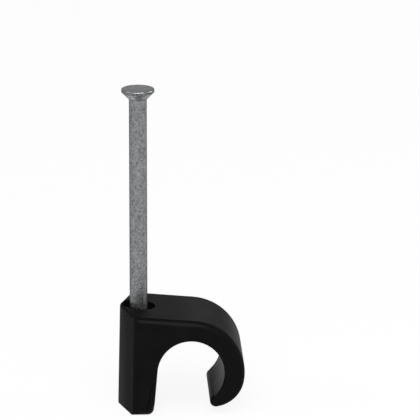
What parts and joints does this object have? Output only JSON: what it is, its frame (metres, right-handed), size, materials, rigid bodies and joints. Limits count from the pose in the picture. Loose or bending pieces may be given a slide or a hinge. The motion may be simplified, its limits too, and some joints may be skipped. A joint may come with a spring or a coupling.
{
  "type": "nail-in cable clip",
  "caption": "Moulded hook clip with a nail standing in its post; the nail is driven into the wall and the open round seat holds a cable.",
  "frame": {"origin": "on the nail axis, at the wall plane that the post stands on", "axes": "+Z along the nail axis from the wall to the head, +X from the nail towards the hook, +Y along the cable"},
  "size_m": [0.014, 0.0108, 0.0366],
  "materials": {
    "black_plastic": "satin moulded black",
    "zinc_plate": "dull mottled zinc plating"
  },
  "bodies": {
    "clip": {"clip_body": "black_plastic"},
    "nail": {"nail": "zinc_plate"}
  },
  "joints": [
    {"name": "nail_drive", "type": "slide", "parent": "clip", "child": "nail", "axis": [0, 0, -1], "range_m": [0, 0.02585]}
  ]
}
